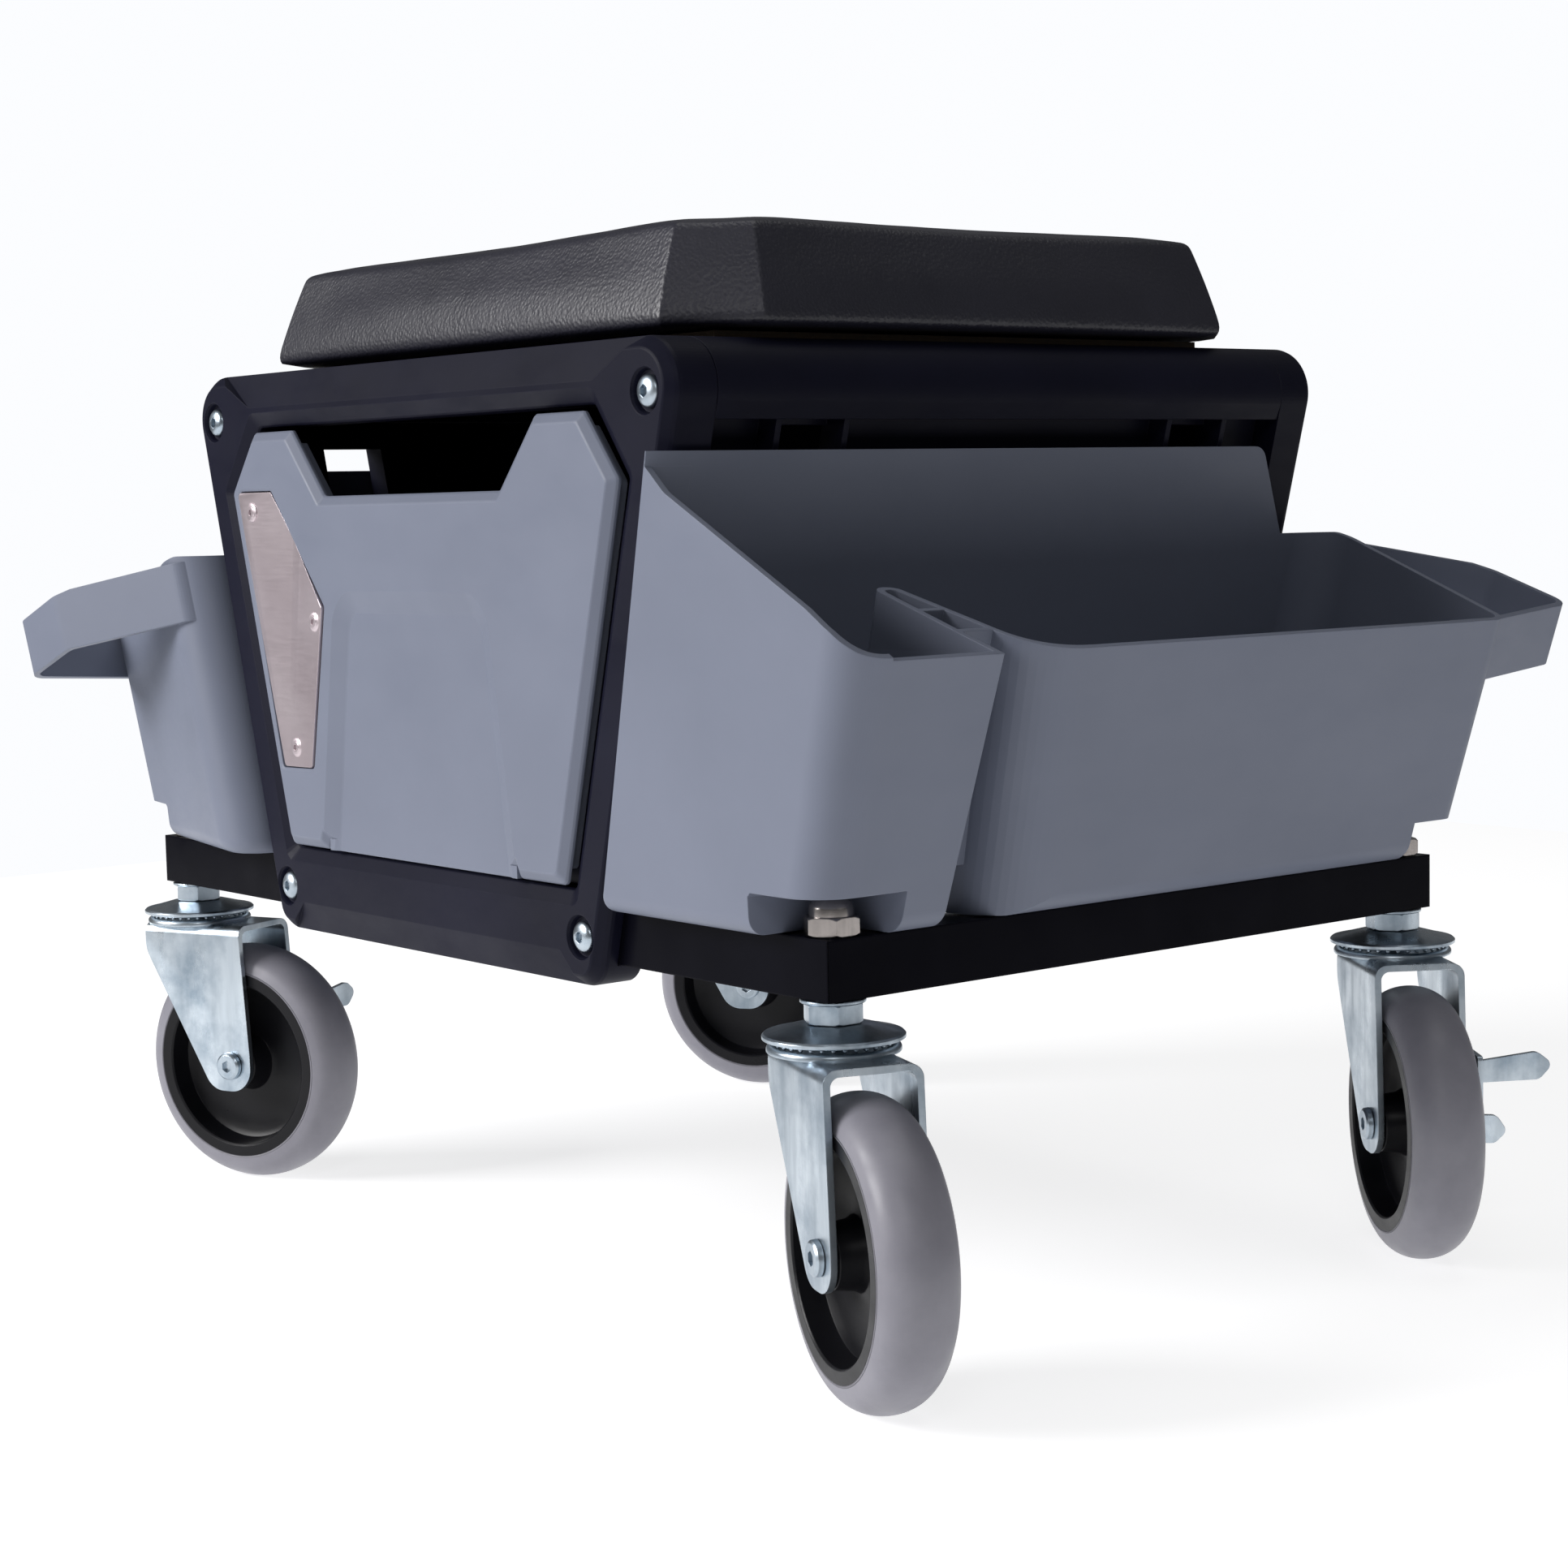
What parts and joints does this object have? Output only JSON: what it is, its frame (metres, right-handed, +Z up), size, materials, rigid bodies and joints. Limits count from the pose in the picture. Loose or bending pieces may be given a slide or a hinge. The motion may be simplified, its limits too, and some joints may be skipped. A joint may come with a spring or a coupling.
{
  "type": "mechanics rolling seat creeper",
  "caption": "Low rolling workshop seat: padded top on a box body with a drawer at each end, a lift-off side tray on either side and swivel casters.",
  "frame": {"origin": "on the floor, under the centre of the rectangular tube chassis", "axes": "+Z up, +X towards the right-hand tray, -Y towards the front drawer"},
  "size_m": [0.6902, 0.5036, 0.482],
  "materials": {
    "chassis_paint": "gloss black paint",
    "body_plastic": "satin moulded black with a navy cast",
    "tray_plastic": "satin moulded blue-grey",
    "seat_vinyl": "grained black vinyl",
    "seat_board": "sealed plywood",
    "zinc_plate": "bright blue-white zinc plating",
    "nickel_nut": "warm nickel plating",
    "insert_metal": "brushed metal with a warm tint",
    "tyre_rubber": "smooth grey rubber tread",
    "hub_plastic": "black moulded plastic"
  },
  "bodies": {
    "frame": {"chassis_tube_front": "chassis_paint", "chassis_tube_back": "chassis_paint", "chassis_tube_right": "chassis_paint", "chassis_tube_left": "chassis_paint", "end_plate_front": "body_plastic", "plate_screw_front_upper_left": "zinc_plate", "plate_screw_front_upper_right": "zinc_plate", "plate_screw_front_lower_left": "zinc_plate", "plate_screw_front_lower_right": "zinc_plate", "end_plate_back": "body_plastic", "plate_screw_back_upper_left": "zinc_plate", "plate_screw_back_upper_right": "zinc_plate", "plate_screw_back_lower_left": "zinc_plate", "plate_screw_back_lower_right": "zinc_plate", "side_panel_right": "body_plastic", "side_panel_left": "body_plastic", "drawer_floor": "body_plastic", "top_deck": "body_plastic", "drawer_divider": "body_plastic", "seat_board": "seat_board", "seat_cushion": "seat_vinyl", "cap_nut_front_right": "nickel_nut", "stem_bolt_front_right": "zinc_plate", "swivel_cup_front_right": "zinc_plate", "cap_nut_back_right": "nickel_nut", "stem_bolt_back_right": "zinc_plate", "swivel_cup_back_right": "zinc_plate", "cap_nut_front_left": "nickel_nut", "stem_bolt_front_left": "zinc_plate", "swivel_cup_front_left": "zinc_plate", "cap_nut_back_left": "nickel_nut", "stem_bolt_back_left": "zinc_plate", "swivel_cup_back_left": "zinc_plate"},
    "swivel_front_right": {"fork_front_right": "zinc_plate", "axle_bolt_front_right": "zinc_plate"},
    "wheel_front_right": {"wheel_hub_front_right": "hub_plastic", "tyre_front_right": "tyre_rubber"},
    "swivel_back_right": {"fork_back_right": "zinc_plate", "axle_bolt_back_right": "zinc_plate"},
    "wheel_back_right": {"wheel_hub_back_right": "hub_plastic", "tyre_back_right": "tyre_rubber"},
    "brake_back_right": {"brake_lever_back_right": "zinc_plate"},
    "swivel_front_left": {"fork_front_left": "zinc_plate", "axle_bolt_front_left": "zinc_plate"},
    "wheel_front_left": {"wheel_hub_front_left": "hub_plastic", "tyre_front_left": "tyre_rubber"},
    "brake_front_left": {"brake_lever_front_left": "zinc_plate"},
    "swivel_back_left": {"fork_back_left": "zinc_plate", "axle_bolt_back_left": "zinc_plate"},
    "wheel_back_left": {"wheel_hub_back_left": "hub_plastic", "tyre_back_left": "tyre_rubber"},
    "drawer_front": {"drawer_front_front": "tray_plastic", "drawer_tub_front": "body_plastic", "drawer_insert_front": "insert_metal"},
    "drawer_back": {"drawer_front_back": "tray_plastic", "drawer_tub_back": "body_plastic", "drawer_insert_back": "insert_metal"},
    "lift_off_tray_right": {"tray_right": "tray_plastic"},
    "lift_off_tray_left": {"tray_left": "tray_plastic"}
  },
  "joints": [
    {"name": "front_right_swivel", "type": "hinge", "parent": "frame", "child": "swivel_front_right", "pos_m": [0.2705, -0.1735, 0.14], "axis": [0, 0, 1], "continuous": true},
    {"name": "front_right_roll", "type": "hinge", "parent": "swivel_front_right", "child": "wheel_front_right", "pos_m": [0.30327, -0.18491, 0.0635], "axis": [0.3289, 0.9444, 0], "continuous": true},
    {"name": "back_right_swivel", "type": "hinge", "parent": "frame", "child": "swivel_back_right", "pos_m": [0.2705, 0.1735, 0.14], "axis": [0, 0, 1], "continuous": true},
    {"name": "back_right_roll", "type": "hinge", "parent": "swivel_back_right", "child": "wheel_back_right", "pos_m": [0.29927, 0.1541, 0.0635], "axis": [0.5592, 0.829, 0], "continuous": true},
    {"name": "back_right_brake", "type": "hinge", "parent": "swivel_back_right", "child": "brake_back_right", "pos_m": [0.31624, 0.16979, 0.085], "axis": [0.5592, 0.829, 0], "range_deg": [0, 15]},
    {"name": "front_left_swivel", "type": "hinge", "parent": "frame", "child": "swivel_front_left", "pos_m": [-0.2705, -0.1735, 0.14], "axis": [0, 0, 1], "continuous": true},
    {"name": "front_left_roll", "type": "hinge", "parent": "swivel_front_left", "child": "wheel_front_left", "pos_m": [-0.23849, -0.16011, 0.0635], "axis": [-0.3859, 0.9225, 0], "continuous": true},
    {"name": "front_left_brake", "type": "hinge", "parent": "swivel_front_left", "child": "brake_front_left", "pos_m": [-0.24228, -0.13731, 0.085], "axis": [-0.3859, 0.9225, 0], "range_deg": [0, 15]},
    {"name": "back_left_swivel", "type": "hinge", "parent": "frame", "child": "swivel_back_left", "pos_m": [-0.2705, 0.1735, 0.14], "axis": [0, 0, 1], "continuous": true},
    {"name": "back_left_roll", "type": "hinge", "parent": "swivel_back_left", "child": "wheel_back_left", "pos_m": [-0.24107, 0.19189, 0.0635], "axis": [-0.5299, 0.848, 0], "continuous": true},
    {"name": "drawer_front_slide", "type": "slide", "parent": "frame", "child": "drawer_front", "axis": [0, -1, 0], "range_m": [0, 0.15]},
    {"name": "drawer_back_slide", "type": "slide", "parent": "frame", "child": "drawer_back", "axis": [0, 1, 0], "range_m": [0, 0.15]},
    {"name": "tray_right_lift", "type": "slide", "parent": "frame", "child": "lift_off_tray_right", "axis": [0.2537, 0, 0.9673], "range_m": [0, 0.26]},
    {"name": "tray_left_lift", "type": "slide", "parent": "frame", "child": "lift_off_tray_left", "axis": [-0.2537, 0, 0.9673], "range_m": [0, 0.26]}
  ]
}
